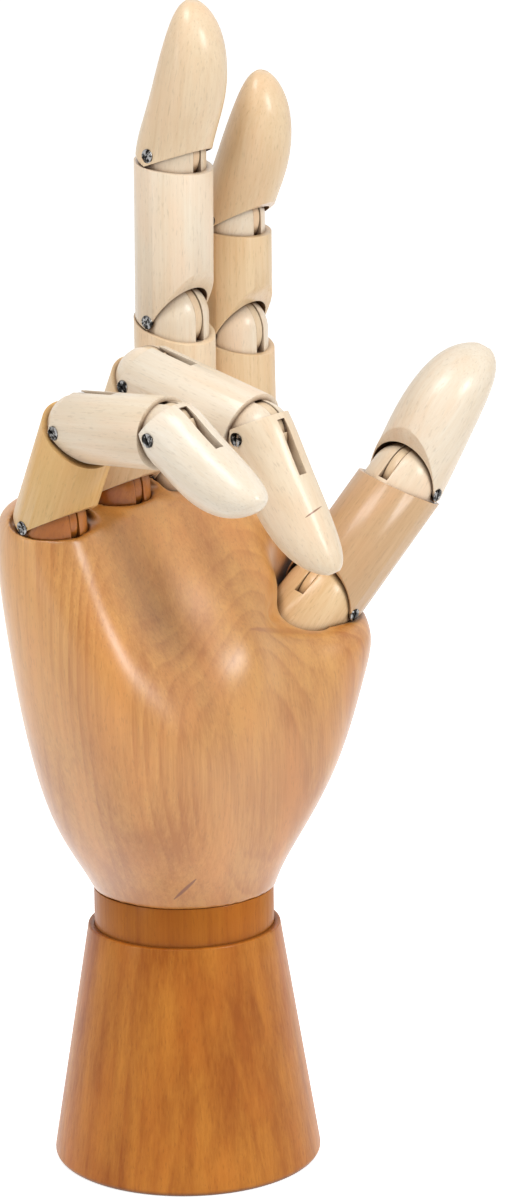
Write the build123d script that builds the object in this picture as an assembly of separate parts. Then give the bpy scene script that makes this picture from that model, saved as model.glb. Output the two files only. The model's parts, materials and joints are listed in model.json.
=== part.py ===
from build123d import *
from math import cos, radians, sin, sqrt, tan
import os

os.makedirs("parts", exist_ok=True)

# All sizes in millimetres, all angles in degrees.
# Frame: +Z up, palm faces -Y, thumb side is +X, origin at the centre of the base's underside.

# Base and wrist
BASE_FOOT_R = 34.7
BASE_TOP_R = 24.6
BASE_H = 62.0
BASE_FOOT_ROUND = 1.6
BASE_TOP_ROUND = 0.5
COLLAR_R = 23.0
COLLAR_FIT = 0.08
COLLAR_DEPTH = 22.0
FLOOR_GAP = 0.3
SPINDLE_R = 6.0
SPINDLE_FIT = 0.05
SPINDLE_DEPTH = 16.0
SPINDLE_IN_PALM = 26.0
PALM_Z = 72.0

# Palm outline at rising heights: height, left, right, front, back, corner radius
PALM_SECTIONS = [
    (PALM_Z, -22.8, 23.2, -23.0, 22.5, 22.0),
    (84.0, -30.0, 29.6, -26.0, 25.0, 21.5),
    (94.0, -34.8, 37.2, -27.5, 26.0, 21.0),
    (104.0, -38.2, 44.0, -28.0, 26.5, 21.0),
    (115.0, -41.0, 48.2, -27.5, 27.0, 21.0),
    (126.0, -43.3, 49.0, -25.0, 27.0, 20.5),
    (138.0, -45.0, 49.5, -20.5, 27.0, 19.5),
    (150.0, -46.2, 47.5, -14.0, 27.0, 18.0),
    (162.0, -46.2, 46.0, -6.5, 27.0, 15.5),
    (175.0, -45.5, 45.0, -0.5, 26.5, 12.5),
    (195.0, -45.0, 44.0, 3.0, 25.5, 10.0),
]
TOP_SLOPE = 12.0
# Ball of the thumb: its centres at three heights, their radii, and the wall around the thumb's own radius
THENAR_FOOT = (18.0, -8.0, 92.0)
THENAR_FOOT_R = 13.0
THENAR_MID = (30.4, -9.8, 114.5)
THENAR_MID_R = 17.0
THENAR_TOP = (39.2, -10.6, 133.0)
THENAR_WALL = 4.8
HOLLOW_R = 120.0
HOLLOW_AT = (-12.0, -122.0, 200.0)

# Joints
RIM_WALL = 0.9
BALL_GAP = 0.25
RIM_GAP = 0.3
PIVOT_TO_BACK = 0.3
HOLLOW_SHIFT = 1.2
KNUCKLE_TAIL = 4.0
TONGUE_T = 2.4
TONGUE_HALF = 3.2
TONGUE_GAP = 0.25
TONGUE_TOP = 12.0
TONGUE_BACK_FROM = 3.2
TONGUE_BACK_RISE = 1.2
TONGUE_INSET = 0.3
SLOT_TOP = 14.0
SLOT_SIDE_DEPTH = 5.5
PIN_R = 1.2
PIN_FIT = 0.06
PIN_SHORT = 0.4
HEAD_R = 1.7
HEAD_SINK = 0.45
HEAD_PROUD = 0.1
HEAD_SLOT_W = 0.55
HEAD_SLOT_D = 0.3
SEAT_SIDE = 0.7
SEAT_REACH = 5.0
SEAT_OPEN = 1.75

# Rim of the lower piece at each row of joints:
# slope, with the higher edge at the back, and distance from the pivot
KNUCKLE_RIM = (8.0, 2.0)
MIDDLE_RIM = (18.0, 2.3)
TIP_RIM = (8.0, 3.0)
THUMB_BASE_RIM = (45.0, 2.0)
THUMB_TIP_RIM = (22.0, 2.3)

# Fingers: radii of the pieces, knuckle position, turn about Z, lean to the side,
# bends at rest, bends at full flexion, piece lengths
FINGERS = {
    "pinky": ((9.5, 8.7, 8.1), (-36.0, 7.9, 171.0), -3.0, -6.0, (30, 57, 35), (60, 58, 46), (28.8, 32.5, 30.5)),
    "ring": ((9.8, 9.3, 8.4), (-11.0, 11.0, 175.5), -1.0, -5.0, (29, 75.5, 46), (60, 77, 50), (32.2, 37.3, 37.8)),
    "middle": ((10.2, 9.8, 9.2), (11.5, 11.2, 176.0), 1.0, -4.5, (4, 1, 15), (60, 74, 44), (40.2, 41.4, 37.7)),
    "index": ((10.0, 9.6, 9.1), (33.9, 10.7, 170.0), 3.0, -3.7, (2, 1, 20), (60, 74, 56), (40.3, 29.2, 38.0)),
}
THUMB_RADII = (11.2, 10.7)
THUMB_AT = (42.4, -10.0, 141.0)
THUMB_TURN = -85.0
THUMB_LEAN = 18.0
THUMB_OUT = -46.0
THUMB_REST = (6, 14)
THUMB_FULL = (80, 70)
THUMB_ROOM = 75.0
THUMB_LENGTHS = (38.5, 40.3)
ROWS = ("proximal", "middle", "distal")
RIMS = (KNUCKLE_RIM, MIDDLE_RIM, TIP_RIM)


def yz_prism(points, half_width):
    """Solid with the given outline in the YZ plane, reaching half_width to both sides in X."""
    return extrude(Plane.YZ * make_face(Polyline(*points, close=True)), half_width, both=True)


def x_rod(radius, x_from, x_to):
    """Round bar along X between two positions."""
    return Pos((x_from + x_to) / 2, 0, 0) * Rot(0, 90, 0) * Cylinder(radius, abs(x_to - x_from))


def box_between(x0, x1, y0, y1, z0, z1):
    """Block between two corners."""
    return Pos((x0 + x1) / 2, (y0 + y1) / 2, (z0 + z1) / 2) * Box(x1 - x0, y1 - y0, z1 - z0)


def ball_radius(radius):
    """Radius of the knuckle dowel and its domed end."""
    return radius - RIM_WALL


def tongue_radius(radius):
    """Radius of the tongue's round end: it turns inside the bore of the lower piece."""
    return sqrt(ball_radius(radius) ** 2 - (TONGUE_T / 2) ** 2) - TONGUE_GAP


def knuckle_depth(radius):
    """Length of the knuckle dowel below the pivot."""
    return ball_radius(radius) + KNUCKLE_TAIL


def rim_drop(rim):
    """Depth of the rim below the pivot on the finger's centre line."""
    slope, depth = rim
    return depth / cos(radians(slope))


def above_rim(radius, rim):
    """Space above the sloping rim of a lower piece, in the frame of the joint's pivot."""
    reach = 4 * radius
    drop = reach * tan(radians(rim[0]))
    low = -rim_drop(rim)
    return yz_prism(
        [(reach, low + drop), (reach, low + 6 * reach), (-reach, low + 6 * reach), (-reach, low - drop)],
        reach,
    )


def below_joint(radius, rim, full):
    """Space that the upper piece leaves free below its base: rim slope behind, open wedge in front."""
    slope, depth = rim
    reach = 4 * radius
    apex = RIM_GAP - depth
    back = apex + reach * tan(radians(slope))
    front = apex + reach * tan(radians(full - slope))
    deep = -6 * reach
    return yz_prism([(reach, back), (0, apex), (-reach, front), (-reach, deep), (reach, deep)], reach)


def knuckle_bore(radius):
    """Bore of a lower piece for the knuckle dowel."""
    deep = knuckle_depth(radius)
    tall = deep + 2 * radius
    return Pos(0, 0, tall / 2 - deep) * Cylinder(ball_radius(radius), tall)


def knuckle(radius):
    """Domed dowel: sits in the lower piece's bore, slotted for the tongue, drilled for the pin."""
    r = ball_radius(radius)
    deep = knuckle_depth(radius)
    body = Pos(0, 0, -deep / 2) * Cylinder(r, deep) + Sphere(r)
    half = TONGUE_T / 2 + TONGUE_GAP
    body -= box_between(-half, half, -2 * r, 2 * r, -SLOT_SIDE_DEPTH, 2 * r)
    body -= x_rod(tongue_radius(radius) + TONGUE_GAP, -half, half)
    return body - x_rod(PIN_R + PIN_FIT, -2 * r, 2 * r)


def tongue(radius, rim, full):
    """Round plate glued into the upper piece's saw slot and swinging in the knuckle's slot."""
    half = TONGUE_T / 2
    back = radius - PIVOT_TO_BACK - TONGUE_INSET
    plate = x_rod(back, -half, half) & box_between(-half, half, 0, radius, TONGUE_BACK_FROM, TONGUE_TOP)
    plate -= Pos(0, 0, TONGUE_BACK_RISE) * below_joint(radius, rim, full)
    plate += box_between(-half, half, -TONGUE_HALF, TONGUE_HALF, 0, TONGUE_TOP)
    plate += x_rod(tongue_radius(radius), -half, half)
    return plate - x_rod(PIN_R, -radius, radius)


def pin(radius, side):
    """Pivot screw with a slotted head on the side that is given as -1 or +1."""
    body = x_rod(PIN_R, side * (radius - HEAD_SINK), -side * (radius - PIN_SHORT))
    body += x_rod(HEAD_R, side * (radius - HEAD_SINK), side * (radius + HEAD_PROUD))
    face = radius + HEAD_PROUD
    groove = Box(2 * HEAD_SLOT_D, HEAD_SLOT_W, 3 * HEAD_R)
    return body - Pos(side * face, 0, 0) * Rot(35, 0, 0) * groove


def shaft(radius, length):
    """Straight round finger piece from below its own pivot to above the next pivot."""
    low = -2 * radius
    high = length + radius / 2
    return Pos(0, -PIVOT_TO_BACK, (low + high) / 2) * Cylinder(radius, high - low)


def fingertip(radius, length):
    """Last finger piece: straight back, full belly in front, round tip."""
    # height as a share of the length, shift to the back, half width and half depth as shares of the radius
    shape = [
        (-0.45, 0.0, 1.0, 1.0),
        (0.0, 0.0, 1.0, 1.0),
        (0.22, -0.05, 0.98, 0.99),
        (0.45, -0.11, 0.96, 0.98),
        (0.62, -0.08, 0.91, 0.91),
        (0.77, 0.01, 0.82, 0.76),
        (0.88, 0.13, 0.67, 0.58),
        (0.955, 0.25, 0.46, 0.38),
        (1.0, 0.33, 0.2, 0.17),
    ]
    rings = []
    for share, back, wide, deep in shape:
        at = Pos(0, back * radius - PIVOT_TO_BACK, share * length)
        rings.append(at * Ellipse(wide * radius, deep * radius))
    return loft(rings)


def base_end(body, radius, rim, full, side):
    """Shape the lower end of a finger piece: wedge, hollow for the knuckle, saw slot and pin hole."""
    hollow_r = ball_radius(radius) + BALL_GAP
    body -= below_joint(radius, rim, full)
    body -= Sphere(hollow_r) + Pos(0, 0, -radius / 2) * Cylinder(hollow_r, radius)
    body -= Pos(0, -HOLLOW_SHIFT, HOLLOW_SHIFT / 2) * Sphere(hollow_r)
    half = TONGUE_T / 2
    body -= box_between(-half, half, -TONGUE_HALF, 2 * radius, 0, SLOT_TOP)
    body -= x_rod(PIN_R, -2 * radius, 2 * radius)
    return body - x_rod(HEAD_R, side * (radius - HEAD_SINK), side * 2 * radius)


def top_end(body, radius, length, rim):
    """Shape the upper end of a finger piece: sloping rim and bore for the knuckle of the piece above."""
    body -= Pos(0, 0, length) * above_rim(radius, rim)
    return body - Pos(0, 0, length) * knuckle_bore(radius)


def tapered_rod(low, low_r, top, top_r):
    """Rod between two centres with a round end on each of them."""
    run = Vector(*top) - Vector(*low)
    line = Plane(Vector(*low) + run / 2, z_dir=run)
    return line * Cone(low_r, top_r, run.length) + Pos(*low) * Sphere(low_r) + Pos(*top) * Sphere(top_r)


def solid_of(shape):
    """The largest solid of a shape."""
    return max(shape.solids(), key=lambda s: s.volume)


def save(shape, name):
    """Write one piece to its STEP file."""
    part = solid_of(shape)
    part.label = name
    export_step(part, f"parts/{name}.step")


def digit(name, radii, root, rests, fulls, rims, lengths, rows, side):
    """Write the pieces of one digit; root is the frame of its first pivot with the digit straight."""
    at = root
    lower = root
    for i, row in enumerate(rows):
        radius = radii[i]
        save(lower * knuckle(radius), f"{name}_{row}_knuckle")
        at = at * Rot(rests[i], 0, 0)
        last = i == len(rows) - 1
        piece = fingertip(radius, lengths[i]) if last else shaft(radius, lengths[i])
        piece = base_end(piece, radius, rims[i], fulls[i], side)
        if not last:
            piece = top_end(piece, radii[i + 1], lengths[i], rims[i + 1])
        save(at * piece, f"{name}_{row}")
        save(at * tongue(radius, rims[i], fulls[i]), f"{name}_{row}_tongue")
        save(at * pin(radius, side), f"{name}_{row}_pin")
        at = at * Pos(0, 0, lengths[i])
        lower = at


def finger_root(knuckle_at, turn, lean):
    """Frame of a finger's first pivot."""
    return Pos(*knuckle_at) * Rot(0, 0, turn) * Rot(0, lean, 0)


def finger_room(radius, rim):
    """Room above a finger's seat in the palm, open towards the front."""
    wide = radius + SEAT_SIDE
    tall = 5 * radius
    room = Pos(0, 0, tall / 2 - 2 * radius) * Cylinder(wide, tall)
    room += box_between(-wide, wide, -SEAT_REACH * radius, 0, -3 * radius, tall - 2 * radius)
    return room & above_rim(radius, rim)


def thumb_room(radius, rim, swing):
    """Room above the thumb's seat: all that it sweeps up to the given bend, and open at the palm's side."""
    wide = radius + SEAT_SIDE
    tall = 5 * radius
    rod = Pos(0, 0, tall / 2 - wide) * Cylinder(wide, tall)
    far = tall - wide
    tip = (-far * sin(radians(swing)), far * cos(radians(swing)))
    room = rod + Rot(swing, 0, 0) * rod + yz_prism([(0, 0), (0, far), tip], wide)
    room += box_between(0, 3 * radius, -SEAT_OPEN * wide, wide, -SEAT_OPEN * wide, far)
    return room & above_rim(radius, rim)


thumb_root = Pos(*THUMB_AT) * Rot(0, 0, THUMB_TURN) * Rot(0, THUMB_LEAN, 0) * Rot(THUMB_OUT, 0, 0)

# Base cone with the bore for the wrist collar
base = Pos(0, 0, BASE_H / 2) * Cone(BASE_FOOT_R, BASE_TOP_R, BASE_H)
base = fillet(base.edges().sort_by(Axis.Z)[0], BASE_FOOT_ROUND)
base = fillet(base.edges().sort_by(Axis.Z)[-1], BASE_TOP_ROUND)
bore_floor = BASE_H - COLLAR_DEPTH
base -= Pos(0, 0, bore_floor + COLLAR_DEPTH) * Cylinder(COLLAR_R + COLLAR_FIT, 2 * COLLAR_DEPTH)
base -= Pos(0, 0, bore_floor) * Cylinder(SPINDLE_R + SPINDLE_FIT, 2 * SPINDLE_DEPTH)
save(base, "base_cone")

# Wrist collar turning in the base, and the spindle through it
collar_low = bore_floor + FLOOR_GAP
collar_h = PALM_Z - collar_low
collar = Pos(0, 0, collar_low + collar_h / 2) * Cylinder(COLLAR_R, collar_h)
collar -= Pos(0, 0, collar_low + collar_h / 2) * Cylinder(SPINDLE_R, 2 * collar_h)
save(collar, "wrist_collar")
spindle_low = bore_floor - SPINDLE_DEPTH + FLOOR_GAP
spindle_h = PALM_Z + SPINDLE_IN_PALM - spindle_low
spindle = Pos(0, 0, spindle_low + spindle_h / 2) * Cylinder(SPINDLE_R, spindle_h)
save(spindle, "wrist_spindle")

# Palm block
outlines = []
for height, left, right, front, back, corner in PALM_SECTIONS:
    middle = Pos((left + right) / 2, (front + back) / 2, height)
    outlines.append(middle * RectangleRounded(right - left, back - front, corner))
palm = loft(outlines)
lobe = tapered_rod(THENAR_FOOT, THENAR_FOOT_R, THENAR_MID, THENAR_MID_R)
lobe += tapered_rod(THENAR_MID, THENAR_MID_R, THENAR_TOP, THUMB_RADII[0] + THENAR_WALL)
palm += lobe - thumb_root * above_rim(THUMB_RADII[0], THUMB_BASE_RIM)

# Top of the palm: one rising curve over the knuckles, sloping up to the back
points = [finger[1] for finger in FINGERS.values()]
slope_step = tan(radians(TOP_SLOPE))
crest = [(x, z - y * slope_step) for x, y, z in points]
first = (crest[0][0] - 40, crest[0][1] - 20)
last = (crest[-1][0] + 40, crest[-1][1] - 14)
curve = Spline(first, *crest, last)
lid = Polyline(last, (last[0], 300), (first[0], 300), first)
lid_face = Plane.XZ * make_face([*curve.edges(), *lid.edges()])
run = Vector(0, 1, slope_step).normalized()
palm -= extrude(Pos(0, -80, -80 * slope_step) * lid_face, 200, dir=run)

# Hollow of the palm, seats and bores
palm -= Pos(*HOLLOW_AT) * Sphere(HOLLOW_R)
for radii, at, turn, lean, rests, fulls, lengths in FINGERS.values():
    root = finger_root(at, turn, lean)
    palm -= root * finger_room(radii[0], KNUCKLE_RIM)
    palm -= root * knuckle_bore(radii[0])
palm -= thumb_root * thumb_room(THUMB_RADII[0], THUMB_BASE_RIM, THUMB_ROOM)
palm -= thumb_root * knuckle_bore(THUMB_RADII[0])
palm -= Pos(0, 0, PALM_Z) * Cylinder(SPINDLE_R, 2 * SPINDLE_IN_PALM)
save(palm, "palm_block")

# Fingers and thumb
for name, (radii, at, turn, lean, rests, fulls, lengths) in FINGERS.items():
    digit(name, radii, finger_root(at, turn, lean), rests, fulls, RIMS, lengths, ROWS, -1)
digit(
    "thumb",
    THUMB_RADII,
    thumb_root,
    THUMB_REST,
    THUMB_FULL,
    (THUMB_BASE_RIM, THUMB_TIP_RIM),
    THUMB_LENGTHS,
    ("proximal", "distal"),
    1,
)
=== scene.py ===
import json
import math

import bpy
import numpy as np
from mathutils import Matrix, Vector


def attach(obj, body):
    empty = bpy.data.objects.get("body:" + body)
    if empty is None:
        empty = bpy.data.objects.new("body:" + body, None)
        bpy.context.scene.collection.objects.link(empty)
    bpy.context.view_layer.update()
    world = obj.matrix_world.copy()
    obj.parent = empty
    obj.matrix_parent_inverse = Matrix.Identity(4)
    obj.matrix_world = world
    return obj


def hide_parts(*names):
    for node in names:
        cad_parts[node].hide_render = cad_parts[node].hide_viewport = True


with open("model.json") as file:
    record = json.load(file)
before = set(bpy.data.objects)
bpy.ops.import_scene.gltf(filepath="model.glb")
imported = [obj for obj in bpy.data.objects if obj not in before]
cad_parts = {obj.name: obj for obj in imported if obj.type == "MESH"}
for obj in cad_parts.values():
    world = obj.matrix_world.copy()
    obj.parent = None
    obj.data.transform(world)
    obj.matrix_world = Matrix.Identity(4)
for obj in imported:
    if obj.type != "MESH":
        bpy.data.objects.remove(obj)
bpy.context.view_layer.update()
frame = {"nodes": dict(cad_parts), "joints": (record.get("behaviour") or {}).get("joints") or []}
nodes = frame["nodes"]
joint_of = {j["child"]: j for j in frame["joints"]}

MM = 0.001
FINGERS = ("pinky", "ring", "middle", "index")
ROWS = {"thumb": ("proximal", "distal")}
for finger in FINGERS:
    ROWS[finger] = ("proximal", "middle", "distal")

# Image size in pixels
IMAGE_W, IMAGE_H = 505, 1200

# Camera: point looked at, direction, distance and focal length in pixels, and that point's pixel
LOOK_AT = Vector((0.0, 0.0, 135.2)) * MM
VIEW_AZIMUTH = -46.0
VIEW_ELEVATION = 12.87
VIEW_DISTANCE = 835 * MM
VIEW_ROLL = -0.97
FOCAL_PX = 3320.8
AIM_PX = (179.7, 641.4)
SENSOR_MM = 36.0
NEAREST_SEEN = 50 * MM

# Wood colours, linear: early wood and late wood
PALM_WOOD = ((0.695, 0.335, 0.078), (0.44, 0.145, 0.010))
BASE_WOOD = ((0.58, 0.215, 0.025), (0.34, 0.085, 0.003))
# The collar's tone is darker than the base's partly as painted shade under the palm
COLLAR_WOOD_AND_SHADE = ((0.50, 0.165, 0.012), (0.32, 0.08, 0.003))
CREAM_WOOD = ((0.90, 0.785, 0.625), (0.80, 0.63, 0.435))
HONEY_WOOD = ((0.83, 0.61, 0.355), (0.70, 0.44, 0.20))
TAN_WOOD = ((0.68, 0.45, 0.25), (0.54, 0.33, 0.165))
PLAIN_TONGUE = ((0.865, 0.70, 0.49), (0.75, 0.535, 0.32))

# Other colours, linear
BARK = (0.20, 0.045, 0.004)
# Painted shadow of the crease under the thumb's socket
CREASE_SHADOW = (0.40, 0.12, 0.03)
# Painted shade for gaps, slots and crevices
CREVICE_SHADE = (0.13, 0.05, 0.014)
STEEL = (0.34, 0.335, 0.33)
# Painted dark reflection on the screw steel
PAINTED_DARK_REFLECTION = (0.012, 0.011, 0.010)
PAPER = ((0.92, 0.92, 0.92), (0.95, 0.95, 0.95))
WHITE = (1.0, 1.0, 1.0, 1.0)

# Share of the honey tone in each finger piece, against the cream one: past 1 is deeper than honey,
# below 0 is paler than cream, and the piece that isn't named is tan. Besides the pieces' own tones,
# the shares hold painted light: the pinky's proximal piece is deeper and the thumb's proximal one
# tan partly as painted shade, and the pinky's distal one is paler partly as painted highlight
HONEY = {
    "pinky_proximal": 1.5,
    "pinky_middle": 0.1,
    "pinky_distal": -0.2,
    "ring_proximal": 0.8,
    "ring_middle": -0.1,
    "ring_distal": 0.3,
    "middle_proximal": 0.5,
    "middle_middle": 0.0,
    "middle_distal": 0.55,
    "index_proximal": 0.8,
    "index_middle": 0.9,
    "index_distal": 0.7,
    "thumb_distal": -0.1,
}
# Knuckles and tongues that are not of the plain tones; the pinky's and ring's proximal ones take
# the darker collar tone, partly darker wood and partly painted shade
KNUCKLE_TONES_AND_SHADE = {"pinky_proximal": COLLAR_WOOD_AND_SHADE, "ring_proximal": COLLAR_WOOD_AND_SHADE, "thumb_proximal": HONEY_WOOD}

# Grain noises: stretch across and along the grain, scale, detail and roughness
GRAIN_NOISE = {
    "bend": ((0.03, 0.006), 1.0, 2.0, 0.55),
    "years": ((0.07, 0.012), 1.0, 1.0, 0.55),
    "fibre": ((1.0, 0.03), 1.5, 5.0, 0.68),
    "streaks": ((0.2, 0.007), 1.0, 4.0, 0.6),
    "pores": ((2.4, 0.4), 1.0, 2.0, 0.5),
    "drift": ((0.045, 0.022), 1.0, 2.0, 0.55),
    "blush": ((0.09, 0.03), 1.0, 3.0, 0.55),
}
# Shift of the noises for each unit of a wood's seed, in millimetres
SEED_SHIFT = (37.0, 53.0, 71.0)
FIRST_DIGIT_SEED = 4.0
KNUCKLE_SEED = 0.5
TONGUE_SEED = 0.7

# Growth rings: share of the height in their radius, years that they bend by, the part of a year
# in which late wood darkens and how late it does so
RING_SLOPE = 0.06
RING_BEND = 4.0
LATE_WOOD = (0.1, 0.88)
LATE_CURVE = 1.6

# Ranges of the noises and what they are spread to: low and high in, low and high out
YEAR_STRENGTH = (0.35, 0.65, 0.15, 1.0)
PORE_MASK = (0.58, 0.72)
STREAK_MASK = (0.32, 0.7)
FIBRE_MASK = (0.3, 0.72)
DRIFT_SHARE = (0.3, 0.7, -0.38, 0.16)
BLUSH_SHARE = (0.46, 0.70, 0.0, 0.5)
WOOD_ROUGHNESS = (0.25, 0.8, 0.35, 0.49)
OPEN_AIR = (0.15, 0.8)

# Strength of fibres, of pores and of the rosy blush in the colour
FIBRE_SHARE = 0.46
PORE_SHARE = 0.28
PORE_TONE = 0.6
ROSY = (1.04, 0.86, 0.74)

# Relief of fibres and pores, and the share of the varnish in the wood's own shine
FIBRE_RELIEF = 0.5
PORE_RELIEF = 0.6
RELIEF_STRENGTH = 0.25
RELIEF_HEIGHT = 0.05 * MM
WOOD_SHINE = 0.5

# Strength of rings and of streaks
FINGER_FIGURE = 0.22
FINGER_STREAK = 0.42
KNUCKLE_FIGURE = 0.14

# Painted shade, darker towards the wrist: two heights in millimetres and the share of late wood added at
# each
PALM_LOWER_SHADE = (74.0, 135.0, 0.5, 0.0)

# Marks in the wood and a painted shadow, in millimetres: the ends of each stroke, half its width,
# strength and colour
PALM_MARKS = [
    ((-19.6, -15.5, 75.3), (-18.0, -21.6, 81.3), 0.5, 0.9, BARK),
    # Painted shadow along the crease under the thumb's socket
    ((5.1, -19.4, 140.3), (29.5, -22.5, 135.5), 0.9, 0.45, CREASE_SHADOW),
]
RING_MARKS = [
    ((-10.8, -57.4, 178.0), (-16.1, -57.1, 176.1), 0.26, 0.85, BARK),
]
# Share of a mark's depth that counts for its reach, so that small errors in depth don't hide it
MARK_DEPTH = 0.12
# Width of a stroke in half widths: the swell in its middle, its tips, and where its edge fades
STROKE_SWELL = 3.0
STROKE_TIP = 0.25
STROKE_EDGE = (0.55, 1.15)

# Reach of the painted shade in gaps and slots, in millimetres
CREVICE = 3.0
CREVICE_SAMPLES = 8

# Screw steel: scale and detail of its patches of painted dark reflection, their range, and the roughness
# they give
DARK_REFLECTION_SCALE = 900.0
DARK_REFLECTION_DETAIL = 4.0
DARK_REFLECTION_MASK = (0.40, 0.54)
STEEL_ROUGHNESS = (0.3, 0.7, 0.16, 0.36)

# Rounding of sharp edges in millimetres, the angle in degrees from which an edge is sharp,
# and the reach within which points are joined first
BASE_ROUNDING = 0.8
COLLAR_ROUNDING = 0.3
PIECE_ROUNDING = 0.3
KNUCKLE_ROUNDING = 0.15
TONGUE_ROUNDING = 0.15
SCREW_ROUNDING = 0.3
SHARP_ANGLE = 38.0
JOIN_REACH = 0.005 * MM
ROUNDING_STEPS = 2

# Light: level of the world on the object, and lamps with their place to the right of the point
# looked at, above it and towards the camera in metres, their size, and their level on a white surface
AMBIENT = 0.36
LAMPS = {
    "overhead": ((-0.15, 0.95, 0.70), (0.45, 0.40), 0.43),
    "window": ((0.85, 0.42, 0.75), (0.26, 0.36), 0.36),
    "left": ((-1.0, 0.25, 0.60), (0.25, 0.80), 0.13),
}
FLOOR_SIZE = 40.0
FLOOR_GLOW = 0.78
FLOOR_ROUGHNESS = 0.9
PAPER_SCALE = 40.0

# Palm surface: face size, rounds that keep its size and rounds that soften it, with their steps
PALM_VOXEL = 0.6 * MM
PALM_ROUNDS = 90
PALM_STEPS = (0.6, -0.61)
PALM_SOFT_ROUNDS = 300
PALM_FINISH_ROUNDS = 6
SOFT_STEPS = (0.5,)
FINISH_FREEDOM = 0.5

# Where the palm keeps its shape, in millimetres: rise above the wrist end, and distance from a socket
WRIST_BLEND = (0.5, 5.0)
SOCKET_BLEND = (0.8, 5.0)
DIGIT_R = {"pinky": 9.5, "ring": 9.8, "middle": 10.2, "index": 10.0, "thumb": 11.2}

# Palm carving, in millimetres: centre, reach along each axis, and push at the centre
PALM_CARVING = [
    ((-20.0, -14.0, 150.0), (15.0, 25.0, 20.0), (0.0, 3.0, -1.0)),
    ((2.0, -21.0, 135.0), (8.0, 20.0, 12.0), (0.0, -2.0, 0.8)),
    ((-40.0, -12.0, 135.0), (7.0, 14.0, 26.0), (-0.6, -1.2, 0.0)),
]

# Axes of the camera before its roll
azimuth = math.radians(VIEW_AZIMUTH)
elevation = math.radians(VIEW_ELEVATION)
view_back = Vector(
    (
        math.sin(azimuth) * math.cos(elevation),
        -math.cos(azimuth) * math.cos(elevation),
        math.sin(elevation),
    )
)
view_right = Vector((math.cos(azimuth), math.sin(azimuth), 0.0))
view_up = view_back.cross(view_right)

# Operations on vectors that give a number
NUMBER_RESULTS = ("DOT_PRODUCT", "LENGTH", "DISTANCE")


class Tree:
    """Node tree of one material."""

    def __init__(self, name):
        self.material = bpy.data.materials.new(name)
        self.material.use_nodes = True
        self.nodes = self.material.node_tree.nodes
        self.links = self.material.node_tree.links
        self.shader = self.nodes["Principled BSDF"]

    def feed(self, socket, value):
        """Link an input to another node's output, or set it to a value."""
        if isinstance(value, bpy.types.NodeSocket):
            self.links.new(value, socket)
        else:
            socket.default_value = value

    def add(self, kind, inputs=None, **settings):
        node = self.nodes.new(kind)
        for key, value in settings.items():
            setattr(node, key, value)
        for key, value in (inputs or {}).items():
            self.feed(node.inputs[key], value)
        return node

    def math(self, operation, a, b=0.0, clamp=False):
        return self.add("ShaderNodeMath", {0: a, 1: b}, operation=operation, use_clamp=clamp).outputs[0]

    def vector(self, operation, a, b=None, scale=None):
        """Arithmetic with vectors: b is the second vector, and scale the factor of a scaled one."""
        inputs = {0: a}
        if b is not None:
            inputs[1] = b
        if scale is not None:
            inputs["Scale"] = scale
        node = self.add("ShaderNodeVectorMath", inputs, operation=operation)
        return node.outputs["Value" if operation in NUMBER_RESULTS else "Vector"]

    def mix(self, factor, a, b):
        """Colour between a and b, which are the node's colour inputs 6 and 7."""
        node = self.add("ShaderNodeMix", data_type="RGBA")
        for key, value in ((0, factor), (6, a), (7, b)):
            self.feed(node.inputs[key], (*value, 1.0) if isinstance(value, tuple) else value)
        return node.outputs[2]

    def stretch(self, vector, sides, along):
        node = self.add("ShaderNodeMapping", {"Vector": vector, "Scale": (sides, sides, along)})
        return node.outputs[0]

    def noise(self, vector, scale, detail=3.0, rough=0.55):
        inputs = {"Vector": vector, "Scale": scale, "Detail": detail, "Roughness": rough}
        return self.add("ShaderNodeTexNoise", inputs).outputs[0]

    def spread(self, value, low, high, out_low=0.0, out_high=1.0):
        node = self.add("ShaderNodeMapRange", {0: value, 1: low, 2: high, 3: out_low, 4: out_high})
        return node.outputs[0]

    def set(self, **values):
        for key, value in values.items():
            self.feed(self.shader.inputs[key.replace("_", " ")], value)


def stroke(tree, spot, start, end, half_width):
    """Mask of a tapering stroke between two points, for a place in millimetres."""
    flattened = 1.0 - MARK_DEPTH
    run = Vector(end) - Vector(start)
    run -= flattened * run.dot(view_back) * view_back
    offset = tree.vector("SUBTRACT", spot, start)
    depth = tree.math("MULTIPLY", tree.vector("DOT_PRODUCT", offset, view_back), flattened)
    offset = tree.vector("SUBTRACT", offset, tree.vector("SCALE", view_back, scale=depth))
    share = tree.vector("DOT_PRODUCT", offset, run / run.length_squared)
    share = tree.math("ADD", share, 0.0, clamp=True)
    away = tree.vector("DISTANCE", offset, tree.vector("SCALE", run, scale=share))
    swell = tree.math("MULTIPLY", share, tree.math("SUBTRACT", 1.0, share))
    swell = tree.math("MULTIPLY", swell, STROKE_SWELL * half_width)
    width = tree.math("ADD", swell, STROKE_TIP * half_width)
    return tree.spread(tree.math("DIVIDE", away, width), *STROKE_EDGE, 1.0, 0.0)


def grain_layer(tree, grain, kind):
    """One of the wood's noises, drawn out along the grain."""
    (sides, along), scale, detail, rough = GRAIN_NOISE[kind]
    return tree.noise(tree.stretch(grain, sides, along), scale, detail, rough)


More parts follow.
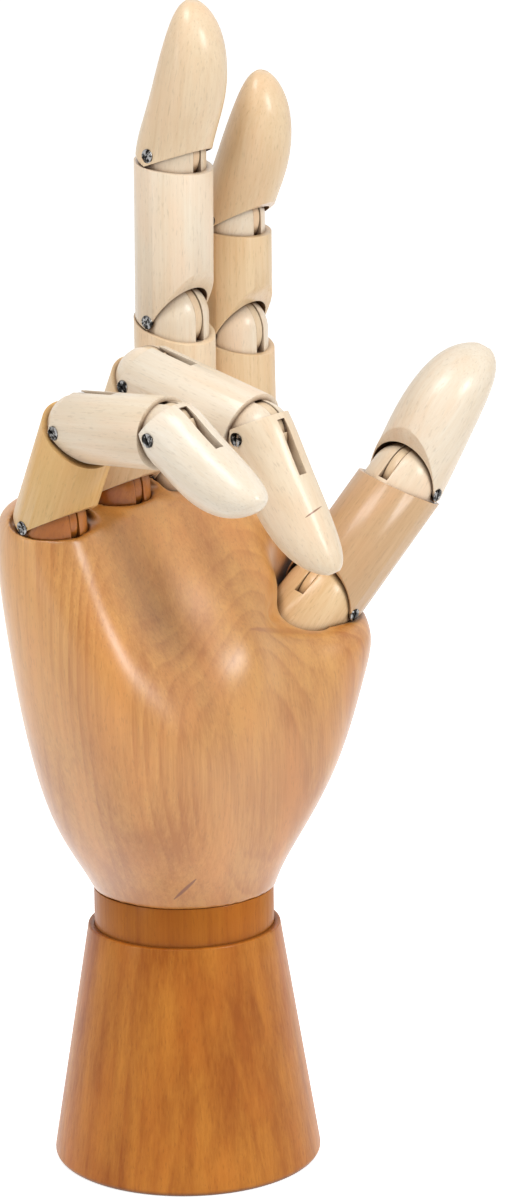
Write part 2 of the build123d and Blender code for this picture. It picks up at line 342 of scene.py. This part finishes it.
def growth_rings(tree, to_grain, grain, ring, pith):
    """Rings around a pith line, bent by slow noise and fading in and out."""
    across = tree.vector("ADD", to_grain, (*pith, 0.0))
    radius = tree.vector("LENGTH", tree.vector("MULTIPLY", across, (1.0, 1.0, RING_SLOPE)))
    bend = tree.math("MULTIPLY", grain_layer(tree, grain, "bend"), RING_BEND)
    phase = tree.math("FRACT", tree.math("ADD", tree.math("DIVIDE", radius, ring), bend))
    late = tree.spread(phase, *LATE_WOOD)
    fall = tree.spread(phase, LATE_WOOD[1], 1.0, 1.0, 0.0)
    rings = tree.math("MULTIPLY", tree.math("POWER", late, LATE_CURVE), fall)
    years = grain_layer(tree, grain, "years")
    return tree.math("MULTIPLY", rings, tree.spread(years, *YEAR_STRENGTH))


def wood(
    name,
    place,
    tones,
    ring=2.6,
    pith=(31.0, -22.0),
    seed=0.0,
    figure=0.3,
    streak=0.5,
    coat=0.5,
    haze=0.24,
    lower_shade=None,
    marks=(),
):
    """Varnished wood with its grain along the Z axis of the matrix that is given as place.

    A ring is one year's width and the pith lies beside the place, both in millimetres. Figure and
    streak are the strength of rings and streaks, coat and haze the varnish's weight and roughness.
    """
    light, dark = tones
    tree = Tree(name)
    coordinates = tree.add("ShaderNodeTexCoord").outputs["Object"]
    to_grain = tree.add(
        "ShaderNodeMapping",
        {
            "Vector": coordinates,
            "Location": place.translation,
            "Rotation": place.to_euler(),
            "Scale": (MM, MM, MM),
        },
        vector_type="TEXTURE",
    ).outputs[0]
    grain = tree.vector("ADD", to_grain, tuple(seed * shift for shift in SEED_SHIFT))
    rings = growth_rings(tree, to_grain, grain, ring, pith)
    fibre = grain_layer(tree, grain, "fibre")
    streaks = grain_layer(tree, grain, "streaks")
    pores = tree.spread(grain_layer(tree, grain, "pores"), *PORE_MASK)
    drift = grain_layer(tree, grain, "drift")
    blush = grain_layer(tree, grain, "blush")

    # Share of late wood
    share = tree.math("MULTIPLY", rings, figure)
    share = tree.math("ADD", share, tree.math("MULTIPLY", tree.spread(streaks, *STREAK_MASK), streak))
    share = tree.math("ADD", share, tree.math("MULTIPLY", tree.spread(fibre, *FIBRE_MASK), FIBRE_SHARE))
    share = tree.math("ADD", share, tree.spread(drift, *DRIFT_SHARE), clamp=True)
    # Painted shade: more late wood lower down, between the two heights
    if lower_shade:
        height = tree.add("ShaderNodeSeparateXYZ", {0: to_grain}).outputs["Z"]
        share = tree.math("ADD", share, tree.spread(height, *lower_shade), clamp=True)

    # Colour with blush, pores, marks, a painted crease shadow where given, and painted shade in the
    # crevices
    colour = tree.mix(share, light, dark)
    rosy = tuple(min(1.0, factor * tone) for factor, tone in zip(ROSY, light))
    colour = tree.mix(tree.spread(blush, *BLUSH_SHARE), colour, rosy)
    pore_tone = tuple(PORE_TONE * tone for tone in dark)
    colour = tree.mix(tree.math("MULTIPLY", pores, PORE_SHARE), colour, pore_tone)
    if marks:
        spot = tree.vector("SCALE", coordinates, scale=1.0 / MM)
        for start, end, half_width, strength, tone in marks:
            mask = stroke(tree, spot, start, end, half_width)
            colour = tree.mix(tree.math("MULTIPLY", mask, strength), colour, tone)
    # Painted shade: dark brown where ambient occlusion finds close surfaces, in gaps, slots and crevices
    crevice = {"Distance": CREVICE * MM}
    open_air = tree.add("ShaderNodeAmbientOcclusion", crevice, samples=CREVICE_SAMPLES).outputs["AO"]
    colour = tree.mix(tree.spread(open_air, *OPEN_AIR), CREVICE_SHADE, colour)

    fibre_relief = tree.math("MULTIPLY", fibre, FIBRE_RELIEF)
    relief = tree.math("SUBTRACT", fibre_relief, tree.math("MULTIPLY", pores, PORE_RELIEF))
    bump = {"Strength": RELIEF_STRENGTH, "Distance": RELIEF_HEIGHT, "Height": relief}
    tree.set(
        Base_Color=colour,
        Roughness=tree.spread(fibre, *WOOD_ROUGHNESS),
        Normal=tree.add("ShaderNodeBump", bump).outputs[0],
        Specular_IOR_Level=WOOD_SHINE * coat,
        Coat_Weight=coat,
        Coat_Roughness=haze,
    )
    return tree.material


def steel(name):
    """Polished screw steel with patches of painted dark reflection."""
    tree = Tree(name)
    coordinates = tree.add("ShaderNodeTexCoord").outputs["Object"]
    dark_reflection = tree.noise(coordinates, DARK_REFLECTION_SCALE, detail=DARK_REFLECTION_DETAIL)
    tree.set(
        Base_Color=tree.mix(tree.spread(dark_reflection, *DARK_REFLECTION_MASK), STEEL, PAINTED_DARK_REFLECTION),
        Metallic=1.0,
        Roughness=tree.spread(dark_reflection, *STEEL_ROUGHNESS),
    )
    return tree.material


def blend(first, second, share):
    """Tones between two woods."""
    return tuple(tuple(a + share * (b - a) for a, b in zip(one, two)) for one, two in zip(first, second))


def dress(obj, material):
    """Give a piece one material and smooth shading."""
    obj.data.materials.clear()
    obj.data.materials.append(material)
    for polygon in obj.data.polygons:
        polygon.use_smooth = True


def soften(obj, width):
    """Round the sharp edges of a solid piece by a width in millimetres."""
    weld = obj.modifiers.new("weld", "WELD")
    weld.merge_threshold = JOIN_REACH
    bevel = obj.modifiers.new("bevel", "BEVEL")
    bevel.width = width * MM
    bevel.segments = ROUNDING_STEPS
    bevel.limit_method = "ANGLE"
    bevel.angle_limit = math.radians(SHARP_ANGLE)
    bevel.harden_normals = True


def piece_frame(digit, row):
    """Matrix at a digit piece's pivot with Z along the piece and X along its pivot."""
    joint = joint_of[f"{digit}_{row}"]
    at = Vector(joint["pos_m"])
    side = Vector(joint["axis"]).normalized()
    rows = ROWS[digit]
    if row != rows[-1]:
        end = Vector(joint_of[f"{digit}_{rows[rows.index(row) + 1]}"]["pos_m"])
    else:
        end = max((v.co for v in nodes[f"{digit}_{row}"].data.vertices), key=lambda co: (co - at).length)
    along = end - at
    along = (along - side * along.dot(side)).normalized()
    back = along.cross(side)
    matrix = Matrix((side, back, along)).transposed().to_4x4()
    matrix.translation = at
    return matrix


def even_copy(source, name, voxel):
    """New object with a solid's shape in small even faces."""
    obj = bpy.data.objects.new(name, source.data.copy())
    bpy.context.scene.collection.objects.link(obj)
    remesh = obj.modifiers.new("remesh", "REMESH")
    remesh.mode = "VOXEL"
    remesh.voxel_size = voxel
    bpy.context.view_layer.update()
    solid = obj.evaluated_get(bpy.context.evaluated_depsgraph_get())
    mesh = bpy.data.meshes.new_from_object(solid)
    obj.modifiers.clear()
    obj.data = mesh
    return obj


def points_of(mesh):
    """Places of a mesh's points, one in each row."""
    flat = np.empty(len(mesh.vertices) * 3)
    mesh.vertices.foreach_get("co", flat)
    return flat.reshape(-1, 3)


def relax(points, mesh, free, rounds, steps):
    """Smooth the points of a mesh in place, each by its own freedom from 0 to 1."""
    flat = np.empty(len(mesh.edges) * 2, int)
    mesh.edges.foreach_get("vertices", flat)
    one, two = flat.reshape(-1, 2).T
    count = len(points)
    degree = np.bincount(flat, minlength=count)
    for _ in range(rounds):
        for step in steps:
            for axis in range(3):
                line = points[:, axis]
                total = np.bincount(one, line[two], count) + np.bincount(two, line[one], count)
                line += step * free * (total / degree - line)


def ease(values, low, high):
    """Smooth rise from 0 at low to 1 at high."""
    share = np.clip((values - low) / (high - low), 0.0, 1.0)
    return share * share * (3.0 - 2.0 * share)


def carve_palm():
    """The palm with its carved hollow and ridges, blended into one smooth hand-finished surface."""
    palm = even_copy(nodes["palm_block"], "palm", PALM_VOXEL)
    points = points_of(palm.data) / MM
    wrist = points[:, 2].min()
    free = ease(points[:, 2], wrist + WRIST_BLEND[0], wrist + WRIST_BLEND[1])
    for digit in ROWS:
        knuckle = np.array(joint_of[f"{digit}_proximal"]["pos_m"]) / MM
        radius = DIGIT_R[digit]
        away = np.linalg.norm(points - knuckle, axis=1)
        free *= ease(away, radius + SOCKET_BLEND[0], radius + SOCKET_BLEND[1])
    relax(points, palm.data, free, PALM_ROUNDS, PALM_STEPS)
    relax(points, palm.data, free, PALM_SOFT_ROUNDS, SOFT_STEPS)
    for centre, spread, push in PALM_CARVING:
        away = (points - np.array(centre)) / np.array(spread)
        share = np.exp(-(away * away).sum(axis=1)) * free
        points += share[:, None] * np.array(push)
    relax(points, palm.data, np.maximum(free, FINISH_FREEDOM), PALM_FINISH_ROUNDS, SOFT_STEPS)
    palm.data.vertices.foreach_set("co", (points * MM).ravel())
    palm.data.update()
    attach(palm, "palm")
    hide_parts("palm_block")
    return palm


def dress_digit_piece(name, place, seed, metal):
    """Wood on a digit piece, on its knuckle and on its tongue, and steel on its screw."""
    tones = blend(CREAM_WOOD, HONEY_WOOD, HONEY[name]) if name in HONEY else TAN_WOOD
    knuckle_tones = KNUCKLE_TONES_AND_SHADE.get(name, CREAM_WOOD)
    tongue_tones = KNUCKLE_TONES_AND_SHADE.get(name, PLAIN_TONGUE)
    marks = RING_MARKS if name == "ring_distal" else ()
    piece = wood(
        f"{name}_wood", place, tones, seed=seed, figure=FINGER_FIGURE, streak=FINGER_STREAK, marks=marks
    )
    knuckle = wood(
        f"{name}_knuckle_wood", place, knuckle_tones, seed=seed + KNUCKLE_SEED, figure=KNUCKLE_FIGURE
    )
    tongue = wood(f"{name}_tongue_wood", place, tongue_tones, seed=seed + TONGUE_SEED)
    for node_name, material, rounding in (
        (name, piece, PIECE_ROUNDING),
        (f"{name}_knuckle", knuckle, KNUCKLE_ROUNDING),
        (f"{name}_tongue", tongue, TONGUE_ROUNDING),
        (f"{name}_pin", metal, SCREW_ROUNDING),
    ):
        dress(nodes[node_name], material)
        soften(nodes[node_name], rounding)


def seen_directly(tree_nodes, tree_links):
    """Value 1 for rays of the camera, of mirror-like reflection and of transmission, 0 for others."""
    path = tree_nodes.new("ShaderNodeLightPath")
    value = path.outputs["Is Camera Ray"]
    for other in ("Is Glossy Ray", "Is Transmission Ray"):
        larger = tree_nodes.new("ShaderNodeMath")
        larger.operation = "MAXIMUM"
        tree_links.new(value, larger.inputs[0])
        tree_links.new(path.outputs[other], larger.inputs[1])
        value = larger.outputs[0]
    return value


def add_floor():
    """White floor that takes shadows."""
    bpy.ops.mesh.primitive_plane_add(size=FLOOR_SIZE)
    floor = bpy.context.object
    floor.name = "floor"
    tree = Tree("floor_paper")
    paper = tree.noise(tree.add("ShaderNodeTexCoord").outputs["Object"], PAPER_SCALE)
    glow = tree.math("MULTIPLY", seen_directly(tree.nodes, tree.links), FLOOR_GLOW)
    tree.set(
        Base_Color=tree.mix(paper, *PAPER),
        Roughness=FLOOR_ROUGHNESS,
        Specular_IOR_Level=0.0,
        Emission_Color=WHITE,
        Emission_Strength=glow,
    )
    dress(floor, tree.material)


def add_world():
    """World that is white where it is seen and dimmer as a light."""
    world = bpy.data.worlds.new("studio")
    bpy.context.scene.world = world
    world.use_nodes = True
    tree = world.node_tree
    background = tree.nodes["Background"]
    background.inputs["Color"].default_value = WHITE
    glow = tree.nodes.new("ShaderNodeMapRange")
    glow.inputs["To Min"].default_value = AMBIENT
    glow.inputs["To Max"].default_value = 1.0
    tree.links.new(seen_directly(tree.nodes, tree.links), glow.inputs["Value"])
    tree.links.new(glow.outputs[0], background.inputs["Strength"])


def in_view(right, up, towards):
    """Point given in metres to the right, up and towards the camera from the point looked at."""
    return LOOK_AT + right * view_right + up * view_up + towards * view_back


def add_lamp(name, at, size, level):
    """Area lamp that lights a white surface at the point looked at to the level that is given."""
    towards = LOOK_AT - at
    lamp = bpy.data.lights.new(name, "AREA")
    lamp.shape = "RECTANGLE"
    lamp.size, lamp.size_y = size
    lamp.energy = level * math.pi**2 * towards.length_squared
    obj = bpy.data.objects.new(name, lamp)
    bpy.context.scene.collection.objects.link(obj)
    obj.location = at
    obj.rotation_euler = towards.to_track_quat("-Z", "Y").to_euler()


def add_camera():
    """Camera with its place, roll, focal length and shift."""
    data = bpy.data.cameras.new("camera")
    camera = bpy.data.objects.new("camera", data)
    bpy.context.scene.collection.objects.link(camera)
    data.sensor_fit = "VERTICAL"
    data.sensor_height = SENSOR_MM
    data.lens = FOCAL_PX / IMAGE_H * SENSOR_MM
    data.shift_x = (IMAGE_W / 2 - AIM_PX[0]) / IMAGE_H
    data.shift_y = (AIM_PX[1] - IMAGE_H / 2) / IMAGE_H
    data.clip_start = NEAREST_SEEN
    roll = math.radians(VIEW_ROLL)
    rolled_right = view_right * math.cos(roll) + view_up * math.sin(roll)
    rolled_up = view_up * math.cos(roll) - view_right * math.sin(roll)
    pose = Matrix((rolled_right, rolled_up, view_back)).transposed().to_4x4()
    pose.translation = LOOK_AT + view_back * VIEW_DISTANCE
    camera.matrix_world = pose
    bpy.context.scene.camera = camera


# Palm, base and wrist
upright = Matrix.Identity(4)
palm_wood = wood(
    "palm_wood",
    upright,
    PALM_WOOD,
    ring=3.0,
    pith=(-4.0, 96.0),
    seed=1.0,
    figure=0.4,
    coat=1.0,
    haze=0.33,
    lower_shade=PALM_LOWER_SHADE,
    marks=PALM_MARKS,
)
base_wood = wood(
    "base_wood",
    upright,
    BASE_WOOD,
    ring=4.6,
    pith=(40.0, 70.0),
    seed=2.0,
    figure=0.2,
    streak=0.75,
    coat=0.25,
)
collar_wood = wood("collar_wood", upright, COLLAR_WOOD_AND_SHADE, ring=4.0, pith=(-30.0, 60.0), seed=3.0, coat=0.2)
screw_steel = steel("screw_steel")
dress(carve_palm(), palm_wood)
dress(nodes["base_cone"], base_wood)
dress(nodes["wrist_collar"], collar_wood)
dress(nodes["wrist_spindle"], collar_wood)
soften(nodes["base_cone"], BASE_ROUNDING)
soften(nodes["wrist_collar"], COLLAR_ROUNDING)

# Digits
digit_seed = FIRST_DIGIT_SEED
for digit, rows in ROWS.items():
    for row in rows:
        dress_digit_piece(f"{digit}_{row}", piece_frame(digit, row), digit_seed, screw_steel)
        digit_seed += 1.0

# Floor, light and camera
add_floor()
add_world()
for lamp_name, (lamp_place, lamp_size, lamp_level) in LAMPS.items():
    add_lamp(lamp_name, in_view(*lamp_place), lamp_size, lamp_level)
add_camera()
bpy.context.scene.view_settings.view_transform = "Standard"
